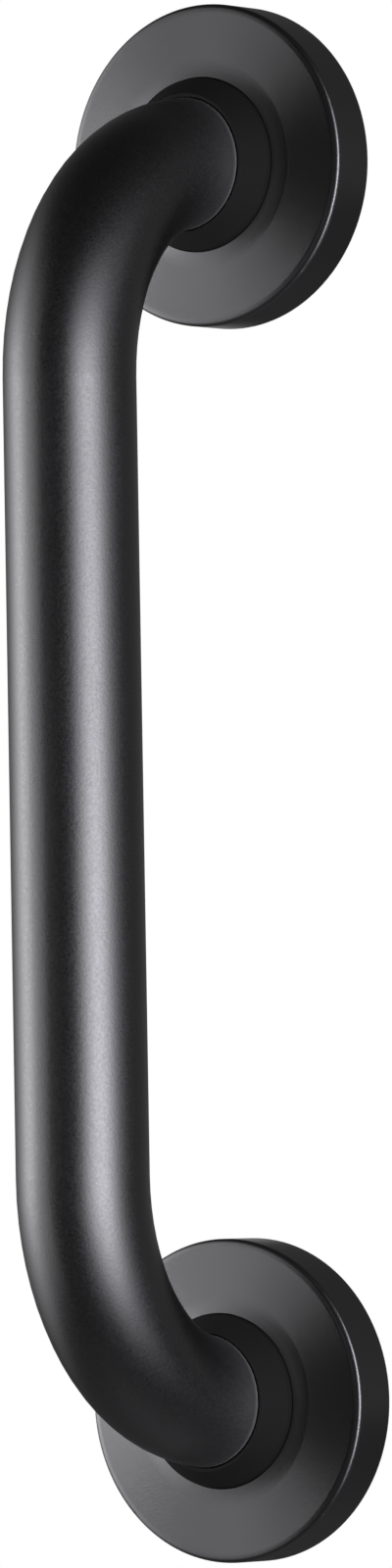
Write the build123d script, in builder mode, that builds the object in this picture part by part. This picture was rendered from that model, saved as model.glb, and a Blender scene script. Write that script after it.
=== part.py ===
from build123d import *
import math
import os

# Grab bar for a bathroom wall: a bent steel tube between two wall fixings, each under a round rose.
# X runs across the wall, Y points into the wall and Z runs up the bar. Lengths are millimetres.
# The origin lies on the wall, midway between the two fixings.

# Bar
fixing_centres = 300.0
tube_diameter = 32.0
tube_wall = 1.5
hand_room = 55.0  # from the wall to the back of the bar
bend_radius = 54.5  # of the tube's centre line

# Wall flanges, which the tube is welded into
flange_thickness = 4.0
flange_chamfer = 0.6
tube_seat_play = 0.1
weld_leg = 3.0
screw_count = 3
screw_hole = 6.0
countersink = 10.4
countersink_angle = 90.0

# Roses, pushed over the flanges
rose_diameter = 78.5
rose_rim = 12.6  # from the wall to the corner of the rim
edge_width = 1.7  # along the rim, where the face turns down
edge_rise = 0.36
edge_roll = 6.0
face_rise = 1.5
lip_width = 2.6  # round the hole, where the face turns up
lip_rise = 0.55
lip_cove = 32.0
rose_bend = 0.3  # inside the corner of the rim
rose_sheet = 1.0
rose_fit = 0.25

# Grip rings, in a groove round each flange
grip_section = 1.5
grip_play = 0.06
groove_play = 0.1

# Collars, between flange and rose
collar_wall = 1.8
collar_land = 1.6  # straight side above the rose
collar_height = 7.1  # above the rose
collar_edge = 1.0
collar_shoulder = 1.0  # under the rose's lip
collar_play = 0.35  # in the rose's hole
collar_seat = 0.15  # under the rose's lip
weld_play = 0.1
mouth_gap = 0.4  # round the tube
mouth_land = 0.5

tube_radius = tube_diameter / 2
bar_reach = hand_room + tube_radius
half_span = fixing_centres / 2

rose_radius = rose_diameter / 2
rose_bore_radius = rose_radius - rose_sheet
flange_radius = rose_bore_radius - rose_fit
groove_radius = rose_bore_radius - grip_section - 2 * grip_play
groove_half = grip_section / 2 + groove_play
groove_depth = flange_thickness / 2
tube_hole_radius = tube_radius + tube_seat_play
weld_radius = tube_hole_radius + weld_leg

sleeve_radius = weld_radius + weld_play
collar_radius = sleeve_radius + collar_wall
shoulder_radius = collar_radius + collar_shoulder
rose_hole_radius = collar_radius + collar_play
screw_circle = (collar_radius + flange_radius) / 2  # radius, midway between collar and rim

edge_radius = rose_radius - edge_width
edge_top = rose_rim + edge_rise
lip_radius = rose_hole_radius + lip_width
face_top = edge_top + face_rise
rose_top = face_top + lip_rise
lip_slope = lip_rise / lip_width
lip_drop = rose_sheet * math.hypot(1, lip_slope)
land_top = rose_top + collar_land
nose_floor = land_top - collar_wall
mouth_depth = rose_top + collar_height
mouth_radius = tube_radius + mouth_gap


def under_lip(radius):
    """Distance from the wall to the underside of a rose's lip."""
    return rose_top - lip_drop - lip_slope * (radius - rose_hole_radius)


def section_plane(side):
    """Half section of a fixing: radius along x, distance from the wall along y."""
    return Plane(origin=(0, 0, side * half_span), x_dir=(-1, 0, 0), z_dir=(0, 0, 1))


def front_plane(side, depth):
    """Plane parallel to the wall at a fixing, facing the room."""
    return Plane(origin=(0, -depth, side * half_span), x_dir=(1, 0, 0), z_dir=(0, -1, 0))


def fixing_axis(side):
    """Axis of a fixing, square to the wall."""
    return Axis((0, 0, side * half_span), (0, -1, 0))


os.makedirs("parts", exist_ok=True)

# Centre line of the bar, from the wall at the lower fixing to the wall at the upper one
with BuildLine(Plane.YZ) as bar_line:
    FilletPolyline(
        (0, -half_span),
        (-bar_reach, -half_span),
        (-bar_reach, half_span),
        (0, half_span),
        radius=bend_radius,
    )
bar_path = bar_line.wire()
bar_end = Plane(origin=bar_path @ 0, x_dir=(0, 0, 1), z_dir=bar_path % 0)

with BuildPart() as bar_tube:
    with BuildSketch(bar_end):
        Circle(tube_radius)
        Circle(tube_radius - tube_wall, mode=Mode.SUBTRACT)
    sweep(path=bar_path)
bar_tube.part.label = "bar_tube"
export_step(bar_tube.part, "parts/bar_tube.step")

for end, side in (("upper", 1), ("lower", -1)):
    # Turned plate with a groove in its rim, a weld bead round the tube's hole, and screw holes
    # of which one points away from the bar's middle
    with BuildPart() as wall_flange:
        with BuildSketch(section_plane(side)):
            with BuildLine():
                Polyline(
                    (tube_hole_radius, 0),
                    (flange_radius, 0),
                    (flange_radius, groove_depth - groove_half),
                    (groove_radius, groove_depth - groove_half),
                    (groove_radius, groove_depth + groove_half),
                    (flange_radius, groove_depth + groove_half),
                    (flange_radius, flange_thickness - flange_chamfer),
                    (flange_radius - flange_chamfer, flange_thickness),
                    (weld_radius, flange_thickness),
                    (tube_hole_radius, flange_thickness + weld_leg),
                    close=True,
                )
            make_face()
        revolve(axis=fixing_axis(side))
        with Locations(front_plane(side, flange_thickness)):
            with PolarLocations(screw_circle, screw_count, start_angle=side * 90):
                CounterSinkHole(
                    screw_hole / 2, countersink / 2, flange_thickness, countersink_angle
                )
    wall_flange.part.label = f"{end}_wall_flange"
    export_step(wall_flange.part, f"parts/{end}_wall_flange.step")

    # Rubber ring that holds the rose on its flange
    with BuildPart(front_plane(side, groove_depth)) as grip_ring:
        Torus(groove_radius + grip_play + grip_section / 2, grip_section / 2)
    grip_ring.part.label = f"{end}_grip_ring"
    export_step(grip_ring.part, f"parts/{end}_grip_ring.step")

    # Pressed sheet cover: a straight rim, a gently rising face and a lip turned up round its hole
    with BuildPart() as rose:
        with BuildSketch(section_plane(side)):
            with BuildLine():
                FilletPolyline(
                    (rose_radius, 0),
                    (rose_radius, rose_rim),
                    (edge_radius, edge_top),
                    (lip_radius, face_top),
                    (rose_hole_radius, rose_top),
                    radius=(rose_bend + rose_sheet, edge_roll, lip_cove),
                )
                offset(amount=rose_sheet, side=Side.LEFT)
            make_face()
        revolve(axis=fixing_axis(side))
    rose.part.label = f"{end}_rose"
    export_step(rose.part, f"parts/{end}_rose.step")

    # Moulded collar: a sleeve on the flange, a shoulder under the rose and a tapered nose.
    # Its bore follows the tube, which starts to bend inside it.
    shoulder_top = under_lip(shoulder_radius) - collar_seat
    with BuildPart() as collar:
        with BuildSketch(section_plane(side)):
            with BuildLine():
                side_line = FilletPolyline(
                    (collar_radius, under_lip(collar_radius) - collar_seat),
                    (collar_radius, land_top),
                    (mouth_radius + mouth_land, mouth_depth),
                    radius=collar_edge,
                )
                Polyline(
                    side_line @ 1,
                    (0, mouth_depth),
                    (0, nose_floor),
                    (sleeve_radius, nose_floor),
                    (sleeve_radius, flange_thickness),
                    (collar_radius, flange_thickness),
                    (collar_radius, shoulder_top - collar_wall),
                    (shoulder_radius, shoulder_top - collar_wall),
                    (shoulder_radius, shoulder_top),
                    side_line @ 0,
                )
            make_face()
        revolve(axis=fixing_axis(side))
        with BuildSketch(bar_end):
            Circle(mouth_radius)
        sweep(path=bar_path, mode=Mode.SUBTRACT)
    collar.part.label = f"{end}_collar"
    export_step(collar.part, f"parts/{end}_collar.step")
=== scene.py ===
import math

import bpy
from mathutils import Euler, Matrix, Vector

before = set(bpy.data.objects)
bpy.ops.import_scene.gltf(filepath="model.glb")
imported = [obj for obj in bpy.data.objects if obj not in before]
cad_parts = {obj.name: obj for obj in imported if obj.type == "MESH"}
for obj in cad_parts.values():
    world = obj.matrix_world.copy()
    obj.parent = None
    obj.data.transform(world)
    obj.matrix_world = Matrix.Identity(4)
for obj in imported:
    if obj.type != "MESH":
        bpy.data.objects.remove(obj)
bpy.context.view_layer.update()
bpy.ops.object.select_all(action="DESELECT")
scene = bpy.context.scene
scene.view_settings.view_transform = "Standard"
print("frame loaded with", len(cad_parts), "pieces")


# Node helpers

def addNode(tree, kind, place, **settings):
    node = tree.nodes.new(kind)
    node.location = place
    for name, value in settings.items():
        setattr(node, name, value)
    return node


def feed(tree, node, fed):  # links a socket and sets anything else, in the order of the node's inputs
    for socket, value in zip(node.inputs, fed):
        if isinstance(value, bpy.types.NodeSocket):
            tree.links.new(value, socket)
        else:
            socket.default_value = value


def mathNode(tree, operation, place, *fed, clamp=False):
    node = addNode(tree, "ShaderNodeMath", place, operation=operation, use_clamp=clamp)
    feed(tree, node, fed)
    return node.outputs[0]


def vectorNode(tree, operation, place, *fed):
    node = addNode(tree, "ShaderNodeVectorMath", place, operation=operation)
    feed(tree, node, fed)
    return node.outputs["Value" if operation in ("DOT_PRODUCT", "LENGTH") else "Vector"]


def emptyMaterial(name):
    material = bpy.data.materials.new(name)
    material.use_nodes = True
    material.node_tree.nodes.clear()
    return material


# Grain that coat, plastic and rubber share: fine height, cloudy tone and cloudy gloss

grainSockets = {  # each number that the grain takes, and its name in a piece's dictionary
    "Grain Scale": "grainScale",
    "Cloud Scale": "cloudScale",
    "Roughness": "roughness",
    "Roughness Spread": "roughnessSpread",
    "Roughness Speck": "roughnessSpeck",
    "Tone Spread": "toneSpread",
    "Speck": "speck",
}
grainNoises = {
    "Grain": {"detail": 2.0, "roughness": 0.6, "row": -320},
    "Cloud": {"detail": 4.0, "roughness": 0.55, "row": 20},
}
noiseMiddle = 0.5  # a noise runs round this


def buildSurfaceGrain():
    group = bpy.data.node_groups.new("surfaceGrain", "ShaderNodeTree")
    sockets = group.interface
    for name in grainSockets:
        sockets.new_socket(name, in_out="INPUT", socket_type="NodeSocketFloat")
    sockets.new_socket("Tone", in_out="INPUT", socket_type="NodeSocketColor")
    sockets.new_socket("Color", in_out="OUTPUT", socket_type="NodeSocketColor")
    sockets.new_socket("Roughness", in_out="OUTPUT", socket_type="NodeSocketFloat")
    sockets.new_socket("Height", in_out="OUTPUT", socket_type="NodeSocketFloat")

    given = addNode(group, "NodeGroupInput", (-900, 0)).outputs
    outputs = addNode(group, "NodeGroupOutput", (700, 0))
    coords = addNode(group, "ShaderNodeTexCoord", (-900, -320))
    centred = {}
    for name, kind in grainNoises.items():
        noise = addNode(group, "ShaderNodeTexNoise", (-620, kind["row"]))
        noise.inputs["Detail"].default_value = kind["detail"]
        noise.inputs["Roughness"].default_value = kind["roughness"]
        group.links.new(coords.outputs["Object"], noise.inputs["Vector"])
        group.links.new(given[name + " Scale"], noise.inputs["Scale"])
        centred[name] = mathNode(group, "SUBTRACT", (-380, kind["row"]), noise.outputs["Fac"], noiseMiddle)

    gloss = mathNode(group, "MULTIPLY_ADD", (0, 220),
                     centred["Cloud"], given["Roughness Spread"], given["Roughness"])
    gloss = mathNode(group, "MULTIPLY_ADD", (180, 220), centred["Grain"], given["Roughness Speck"], gloss)
    speck = mathNode(group, "MULTIPLY", (-180, -120), centred["Grain"], given["Speck"])
    shade = mathNode(group, "MULTIPLY_ADD", (0, 0), centred["Cloud"], given["Tone Spread"], speck)
    level = mathNode(group, "ADD", (180, 0), shade, 1.0)
    tinted = vectorNode(group, "MULTIPLY", (380, 0), given["Tone"], level)
    feed(group, outputs, (tinted, gloss, centred["Grain"]))
    return group


surfaceGrain = buildSurfaceGrain()


def grainedMaterial(name, look):
    material = emptyMaterial(name)
    tree = material.node_tree
    output = addNode(tree, "ShaderNodeOutputMaterial", (600, 0))
    shader = addNode(tree, "ShaderNodeBsdfPrincipled", (300, 0), name="shader")
    shader.inputs["Specular IOR Level"].default_value = look["specular"]
    grain = addNode(tree, "ShaderNodeGroup", (-220, 0), node_tree=surfaceGrain)
    for socketName, entry in grainSockets.items():
        grain.inputs[socketName].default_value = look[entry]
    grain.inputs["Tone"].default_value = (*look["tone"], 1.0)
    bump = addNode(tree, "ShaderNodeBump", (60, -240))
    bump.inputs["Strength"].default_value = look["bumpStrength"]
    bump.inputs["Distance"].default_value = look["bumpDepth"]
    tree.links.new(grain.outputs["Color"], shader.inputs["Base Color"])
    tree.links.new(grain.outputs["Roughness"], shader.inputs["Roughness"])
    tree.links.new(grain.outputs["Height"], bump.inputs["Height"])
    tree.links.new(bump.outputs["Normal"], shader.inputs["Normal"])
    tree.links.new(shader.outputs["BSDF"], output.inputs["Surface"])
    return material


# Masks for where a coat lies rougher and where light is painted on

def newMaskGroup(name, sockets):
    group = bpy.data.node_groups.new(name, "ShaderNodeTree")
    for socketName in sockets:
        group.interface.new_socket(socketName, in_out="INPUT", socket_type="NodeSocketFloat")
    group.interface.new_socket("Mask", in_out="OUTPUT", socket_type="NodeSocketFloat")
    inputs = addNode(group, "NodeGroupInput", (-900, 0))
    outputs = addNode(group, "NodeGroupOutput", (700, 0))
    coords = addNode(group, "ShaderNodeTexCoord", (-900, -260))
    split = addNode(group, "ShaderNodeSeparateXYZ", (-720, -260))
    group.links.new(coords.outputs["Object"], split.inputs[0])
    return group, inputs.outputs, split.outputs, outputs.inputs["Mask"]


def buildMouthMask():  # 1 where the tube leaves a collar, fading along the tube
    fadePower = 2.0
    group, given, place, mask = newMaskGroup("mouthMask", ("Mouth", "Length"))
    beyond = mathNode(group, "ADD", (-520, 0), place["Y"], given["Mouth"])  # under nought outside the collar
    share = mathNode(group, "DIVIDE", (-340, 0), beyond, given["Length"])
    left = mathNode(group, "ADD", (-160, 0), share, 1.0, clamp=True)
    curve = mathNode(group, "POWER", (20, 0), left, fadePower)
    outside = mathNode(group, "LESS_THAN", (20, -220), beyond, 0.0)
    group.links.new(mathNode(group, "MULTIPLY", (240, 0), curve, outside), mask)
    return group


def buildEdgeMask():  # rises to each edge's share round the hole and along the rim of a rose
    edges = ("Hole", "Rim")
    ends = {" Start": "From Min", " End": "From Max", " Share": "To Max"}
    names = ["Centre"] + [edge + end for edge in edges for end in ends]
    group, given, place, mask = newMaskGroup("edgeMask", names)
    height = mathNode(group, "ABSOLUTE", (-540, -260), place["Z"])
    offset = mathNode(group, "SUBTRACT", (-380, -260), height, given["Centre"])
    flat = addNode(group, "ShaderNodeCombineXYZ", (-220, -260))
    feed(group, flat, (place["X"], offset))
    radius = vectorNode(group, "LENGTH", (-60, -260), flat.outputs[0])
    shares = []
    for order, edge in enumerate(edges):
        ramp = addNode(group, "ShaderNodeMapRange", (180, -260 * order), interpolation_type="SMOOTHSTEP")
        group.links.new(radius, ramp.inputs["Value"])
        for end, socketName in ends.items():
            group.links.new(given[edge + end], ramp.inputs[socketName])
        shares.append(ramp.outputs["Result"])
    group.links.new(mathNode(group, "MAXIMUM", (440, 0), *shares), mask)
    return group


def liftBy(material, socketName, amount, maskGroup, settings, row):
    # adds amount times a mask to what feeds a socket of the shader
    tree = material.node_tree
    socket = tree.nodes["shader"].inputs[socketName]
    masked = addNode(tree, "ShaderNodeGroup", (-220, row), node_tree=maskGroup)
    for name, value in settings.items():
        masked.inputs[name].default_value = value
    build = mathNode if socketName == "Roughness" else vectorNode
    fed = socket.links[0].from_socket
    tree.links.new(build(tree, "MULTIPLY_ADD", (60, row), masked.outputs["Mask"], amount, fed), socket)


lowerRow, upperRow = 320, 520  # heights of the masks above the grain in a material's node tree


def dress(nodeNames, material):
    for nodeName in nodeNames:
        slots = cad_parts[nodeName].data.materials
        slots.clear()
        slots.append(material)
    print(material.name, "on", ", ".join(nodeNames))


# Bar

barCoat = {
    "tone": (0.0025, 0.0025, 0.0026),
    "roughness": 0.32,
    "roughnessSpread": 0.05,
    "roughnessSpeck": 0.26,
    "specular": 0.75,
    "grainScale": 1500.0,  # powder coat: grains of about 0.7 mm
    "cloudScale": 45.0,
    "toneSpread": 0.3,
    "speck": 0.4,
    "bumpStrength": 0.42,
    "bumpDepth": 0.00006,
    "mouth": 0.0222,  # the tube shows from here on
    "paintedHighlightLength": 0.0016,  # it has a painted highlight, a pale line, at the collar
    "paintedHighlightTone": (0.055, 0.055, 0.056),
    "rougherLength": 0.030,  # and is rougher near it
    "rougher": 0.36,
}
barPaint = grainedMaterial("barCoat", barCoat)
mouthMask = buildMouthMask()
paintedHighlightMouth = {"Mouth": barCoat["mouth"], "Length": barCoat["paintedHighlightLength"]}
rougherMouth = {"Mouth": barCoat["mouth"], "Length": barCoat["rougherLength"]}
# painted highlight: the base colour is lifted to a pale line where the tube leaves each collar
liftBy(barPaint, "Base Color", barCoat["paintedHighlightTone"], mouthMask, paintedHighlightMouth, lowerRow)
liftBy(barPaint, "Roughness", barCoat["rougher"], mouthMask, rougherMouth, upperRow)
dress(["bar_tube"], barPaint)

# Roses

roses = ["upper_rose", "lower_rose"]
roseCoat = {
    "tone": (0.0011, 0.0011, 0.0012),
    "roughness": 0.12,
    "roughnessSpread": 0.04,
    "roughnessSpeck": 0.0,
    "specular": 0.75,
    "grainScale": 2600.0,
    "cloudScale": 45.0,
    "toneSpread": 0.3,
    "speck": 0.4,
    "bumpStrength": 0.18,
    "bumpDepth": 0.00006,
    "edgesRougher": 0.215,  # the coat lies thicker there
    "edgesPaintedLight": (0.0068, 0.0068, 0.0069),  # and a little painted light brightens it there
    "thicker": {"Hole Share": 0.65, "Rim Share": 1.0},
    # painted light: how much of the lifted base colour the hole and the rim get
    "paintedLight": {"Hole Share": 1.0, "Rim Share": 0.3},
}
roseEdges = {  # radii round the axis of the rose, and how far that is from the bar's middle
    "Centre": 0.150,
    "Hole Start": 0.0263,
    "Hole End": 0.0218,
    "Rim Start": 0.0370,
    "Rim End": 0.0388,
}
rosePaint = grainedMaterial("roseCoat", roseCoat)
edgeMask = buildEdgeMask()
thickerEdges = {**roseEdges, **roseCoat["thicker"]}
paintedLightEdges = {**roseEdges, **roseCoat["paintedLight"]}
liftBy(rosePaint, "Roughness", roseCoat["edgesRougher"], edgeMask, thickerEdges, lowerRow)
# painted light: the base colour is lifted round the hole and along the rim, to brighten them
liftBy(rosePaint, "Base Color", roseCoat["edgesPaintedLight"], edgeMask, paintedLightEdges, upperRow)
dress(roses, rosePaint)

# Wall flanges, coated more thinly than what shows

flangeCoat = {
    "tone": (0.014, 0.014, 0.015),
    "roughness": 0.48,
    "roughnessSpread": 0.12,
    "roughnessSpeck": 0.1,
    "specular": 0.55,
    "grainScale": 2200.0,
    "cloudScale": 80.0,
    "toneSpread": 0.5,
    "speck": 0.5,
    "bumpStrength": 0.3,
    "bumpDepth": 0.00006,
}
dress(["upper_wall_flange", "lower_wall_flange"], grainedMaterial("flangeCoat", flangeCoat))

# Collars

collarPlastic = {
    "tone": (0.0042, 0.0041, 0.0039),
    "roughness": 0.85,
    "roughnessSpread": 0.06,
    "roughnessSpeck": 0.0,
    "specular": 0.12,
    "grainScale": 3600.0,  # spark-eroded mould
    "cloudScale": 120.0,
    "toneSpread": 0.25,
    "speck": 0.3,
    "bumpStrength": 0.35,
    "bumpDepth": 0.00005,
}
dress(["upper_collar", "lower_collar"], grainedMaterial("collarPlastic", collarPlastic))

# Grip rings

ringRubber = {
    "tone": (0.013, 0.013, 0.0135),
    "roughness": 0.38,
    "roughnessSpread": 0.1,
    "roughnessSpeck": 0.0,
    "specular": 0.5,
    "grainScale": 1800.0,
    "cloudScale": 200.0,
    "toneSpread": 0.4,
    "speck": 0.2,
    "bumpStrength": 0.12,
    "bumpDepth": 0.00004,
}
dress(["upper_grip_ring", "lower_grip_ring"], grainedMaterial("ringRubber", ringRubber))


# Room: dim and grey

def roomDirection(azimuth, elevation=0.0):  # azimuth 0 is straight out from the wall, 90 along +X
    side, up = math.radians(azimuth), math.radians(elevation)
    return Vector((math.sin(side) * math.cos(up), -math.cos(side) * math.cos(up), math.sin(up)))


room = {
    "level": 0.112,  # grey at the horizon
    "above": 0.032,
    "below": 0.09,
    "behind": 0.55,  # how much paler than the middle it is behind the wall
}
horizon = 0.5  # where it stands on a ramp from straight down to straight up
world = bpy.data.worlds.new("greyRoom")
world.use_nodes = True
tree = world.node_tree
coords = addNode(tree, "ShaderNodeTexCoord", (-900, 0))
split = addNode(tree, "ShaderNodeSeparateXYZ", (-700, 0))
remap = addNode(tree, "ShaderNodeMapRange", (-500, 0))
remap.inputs["From Min"].default_value = -1.0  # straight down
ramp = addNode(tree, "ShaderNodeValToRGB", (-300, 0))
ramp.color_ramp.elements[0].color = (room["below"],) * 3 + (1.0,)
ramp.color_ramp.elements[1].color = (room["above"],) * 3 + (1.0,)
ramp.color_ramp.elements.new(horizon).color = (room["level"],) * 3 + (1.0,)
tree.links.new(coords.outputs["Generated"], split.inputs[0])
tree.links.new(split.outputs["Z"], remap.inputs["Value"])
tree.links.new(remap.outputs["Result"], ramp.inputs["Fac"])
paler = mathNode(tree, "MULTIPLY_ADD", (-300, -260), split.outputs["Y"], room["behind"], 1.0)
tree.links.new(ramp.outputs["Color"], tree.nodes["Background"].inputs["Color"])
tree.links.new(paler, tree.nodes["Background"].inputs["Strength"])
scene.world = world

# Lamps: large soft ones right and left, two weak even ones between them and a narrow one for the roses' rims
# slide, reach, peak and fade are over the lamps' distance
# soft is the share of the reach where the lamp's left, right and upright rims dim
# edge is the share of the glow that the fading leaves

lampDistance = 1.1
lampHalf = 0.5  # a lamp runs from 0 to 1 across and up
coolWhite = (1.0, 1.0, 1.038)
lilacWhite = (1.0, 0.988, 1.066)
evenShine = {"peak": 0.0, "fade": (1.0, 1.0), "power": 1.0, "roll": 0.0, "edge": 1.0}
softLamps = {
    "rightLamp": {
        "azimuth": 65.0, "slide": 0.30, "height": -0.111,
        "reach": (1.10, 1.20), "soft": (0.27, 0.38, 0.42),
        "peak": -0.312, "fade": (0.890, 1.096), "power": 6.0, "roll": 32.5, "edge": 0.0263,
        "glow": 12.5, "colour": lilacWhite,
    },
    "leftLamp": {
        "azimuth": -65.0, "slide": -0.18, "height": 0.0,
        "reach": (1.12, 1.10), "soft": (0.27, 0.27, 0.45),
        "peak": 0.225, "fade": (0.402, 0.503), "power": 1.704, "roll": 0.0, "edge": 0.0,
        "glow": 7.15, "colour": coolWhite,
    },
    "faceLamp": {
        "azimuth": -65.0, "slide": 0.650, "height": -0.05,
        "reach": (0.29, 1.296), "soft": (1.0, 0.28, 0.82),
        "glow": 1.05, "colour": coolWhite, **evenShine,
    },
    "fillLamp": {
        "azimuth": 0.0, "slide": -0.12, "height": 0.0,
        "reach": (0.16, 0.22), "soft": (1.0, 1.0, 1.0),
        "glow": 0.36, "colour": coolWhite, **evenShine,
    },
    "rimLamp": {
        "azimuth": 73.0, "slide": 0.0, "height": -0.111,
        "reach": (0.14, 1.15), "soft": (0.8, 0.8, 0.30),
        "peak": 0.0, "fade": (10.0, 1.096), "power": 2.5, "roll": 0.0, "edge": 0.0,
        "glow": 37.0, "colour": lilacWhite,
    },
}


def linkedNodes(name, nodeNames, state):
    collection = bpy.data.collections.new(name)
    for nodeName in nodeNames:
        collection.objects.link(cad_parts[nodeName])
    for member in collection.collection_objects:
        member.light_linking.link_state = state
    return collection


# the lamps shine past the bar on to the roses, so it throws no dark band across them
lampBlockers = linkedNodes("lampBlockers", ["bar_tube"], "EXCLUDE")
# the right lamp is kept off the flat roses, where it would show as a white disc from the left
lampReceivers = {
    "rightLamp": linkedNodes("allButRoses", roses, "EXCLUDE"),
    "rimLamp": linkedNodes("onlyRoses", roses, "INCLUDE"),
}


def shapeShine(tree, look):  # brightest at the peak, fading from there and dimming softly at the rims
    wide, tall = look["reach"]
    spot = addNode(tree, "ShaderNodeNewGeometry", (-1400, 0))
    middle = vectorNode(tree, "SUBTRACT", (-1220, 0), spot.outputs["Parametric"], (lampHalf, lampHalf, 0.0))
    peak = vectorNode(tree, "SUBTRACT", (-1040, 0), middle, (lampHalf * look["peak"] / wide, 0.0, 0.0))
    size = vectorNode(tree, "MULTIPLY", (-860, 0), peak, (2 * wide, 2 * tall, 0.0))
    turn = addNode(tree, "ShaderNodeVectorRotate", (-680, 0), rotation_type="Z_AXIS")
    turn.inputs["Angle"].default_value = -math.radians(look["roll"])
    tree.links.new(size, turn.inputs["Vector"])
    spread = vectorNode(tree, "DIVIDE", (-500, 0), turn.outputs[0], (*look["fade"], 1.0))
    away = vectorNode(tree, "DOT_PRODUCT", (-320, 0), spread, spread)
    fall = mathNode(tree, "POWER", (40, 0), mathNode(tree, "ADD", (-140, 0), away, 1.0), -look["power"])
    shine = mathNode(tree, "MULTIPLY_ADD", (220, 0), fall, 1.0 - look["edge"], look["edge"])

    sides = addNode(tree, "ShaderNodeSeparateXYZ", (-1040, -220))
    tree.links.new(middle, sides.inputs[0])
    softLeft, softRight, softUpright = look["soft"]
    rims = (("X", -lampHalf, softLeft), ("X", lampHalf, softRight),
            ("Y", -lampHalf, softUpright), ("Y", lampHalf, softUpright))
    for order, (axis, edge, soft) in enumerate(rims):
        rim = addNode(tree, "ShaderNodeMapRange", (-500, -220 - 280 * order), interpolation_type="SMOOTHSTEP")
        rim.inputs["From Min"].default_value = edge
        rim.inputs["From Max"].default_value = edge * (1.0 - soft)
        tree.links.new(sides.outputs[axis], rim.inputs["Value"])
        shine = mathNode(tree, "MULTIPLY", (400 + 180 * order, 0), shine, rim.outputs["Result"])
    tree.links.new(shine, tree.nodes["Emission"].inputs["Strength"])


def softLamp(lampName, look):
    lamp = bpy.data.lights.new(lampName, "AREA")
    lamp.shape = "RECTANGLE"
    lamp.size = 2 * look["reach"][0] * lampDistance
    lamp.size_y = 2 * look["reach"][1] * lampDistance
    lamp.energy = look["glow"] * math.pi * lamp.size * lamp.size_y  # watts for that radiance at the peak
    lamp.color = look["colour"]
    lamp.use_nodes = True
    shapeShine(lamp.node_tree, look)
    lampObject = bpy.data.objects.new(lampName, lamp)
    scene.collection.objects.link(lampObject)
    towards = roomDirection(look["azimuth"])
    facing = towards.to_track_quat("Z", "Y")
    lampObject.location = lampDistance * (towards + look["slide"] * (facing @ Vector((1, 0, 0))))
    lampObject.location.z += look["height"]
    lampObject.rotation_euler = facing.to_euler()
    lampObject.visible_camera = False
    lampObject.light_linking.blocker_collection = lampBlockers
    if lampName in lampReceivers:
        lampObject.light_linking.receiver_collection = lampReceivers[lampName]


for lampName, lampLook in softLamps.items():
    softLamp(lampName, lampLook)
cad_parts["bar_tube"].visible_glossy = False  # the roses don't mirror the bar
print("lamps:", ", ".join(softLamps))

# Camera, as the photograph was taken

camera = {
    "place": (1.59325, -2.32586, -0.09310),
    "turn": 34.652,  # round the upright, from looking square at the wall
    "tip": 1.890,  # up from level
    "roll": -0.975,
    "lens": 265.95,
    "sensor": 36.0,
}
cameraData = bpy.data.cameras.new("photoCamera")
cameraData.lens = camera["lens"]
cameraData.sensor_width = camera["sensor"]
cameraObject = bpy.data.objects.new("photoCamera", cameraData)
scene.collection.objects.link(cameraObject)
aim = Euler((math.radians(90 + camera["tip"]), 0, math.radians(camera["turn"]))).to_matrix()
aim = aim @ Matrix.Rotation(math.radians(camera["roll"]), 3, "Z")
cameraObject.rotation_euler = aim.to_euler()
cameraObject.location = camera["place"]
scene.camera = cameraObject

# Pale floor, well below the bar

floor = {"height": -2.6, "radius": 16.0, "sides": 96, "tone": (0.82, 0.82, 0.82)}
bpy.ops.mesh.primitive_circle_add(vertices=floor["sides"], radius=floor["radius"], fill_type="NGON",
                                  location=(0, 0, floor["height"]))
floorObject = bpy.context.object
floorObject.name = "paleFloor"
floorPaint = emptyMaterial("floorPaint")
floorShader = addNode(floorPaint.node_tree, "ShaderNodeBsdfDiffuse", (0, 0))
floorShader.inputs["Color"].default_value = (*floor["tone"], 1.0)
floorOutput = addNode(floorPaint.node_tree, "ShaderNodeOutputMaterial", (220, 0))
floorPaint.node_tree.links.new(floorShader.outputs[0], floorOutput.inputs["Surface"])
floorObject.data.materials.append(floorPaint)

# White panel that fills the picture behind the bar; it is clear from its back, so other views see past it

panel = {"behind": 3.0, "width": 0.4, "tall": 1.0, "tone": (0.9, 0.9, 0.9)}
panelAway = roomDirection(180 + camera["turn"], camera["tip"])
bpy.ops.mesh.primitive_plane_add(size=1.0)
panelObject = bpy.context.object
panelObject.name = "whitePanel"
panelObject.scale = (panel["width"], panel["tall"], 1.0)
panelObject.rotation_euler = (-panelAway).to_track_quat("Z", "Y").to_euler()
panelObject.location = panelAway * panel["behind"]
panelPaint = emptyMaterial("panelPaint")
tree = panelPaint.node_tree
ray = addNode(tree, "ShaderNodeLightPath", (-600, 300)).outputs
seen = mathNode(tree, "MAXIMUM", (-400, 300), ray["Is Camera Ray"], ray["Is Glossy Ray"])
seen = mathNode(tree, "MAXIMUM", (-220, 300), seen, ray["Is Transmission Ray"])
matte = addNode(tree, "ShaderNodeBsdfDiffuse", (-220, 80))
matte.inputs["Color"].default_value = (*panel["tone"], 1.0)
white = addNode(tree, "ShaderNodeEmission", (-220, -60))
front = addNode(tree, "ShaderNodeMixShader", (0, 120))
feed(tree, front, (seen, matte.outputs[0], white.outputs[0]))
clear = addNode(tree, "ShaderNodeBsdfTransparent", (0, -60))
back = addNode(tree, "ShaderNodeNewGeometry", (0, 360))
sided = addNode(tree, "ShaderNodeMixShader", (220, 60))
feed(tree, sided, (back.outputs["Backfacing"], front.outputs[0], clear.outputs[0]))
panelOutput = addNode(tree, "ShaderNodeOutputMaterial", (440, 60))
tree.links.new(sided.outputs[0], panelOutput.inputs["Surface"])
panelObject.data.materials.append(panelPaint)
print("stage set: floor, panel and camera")
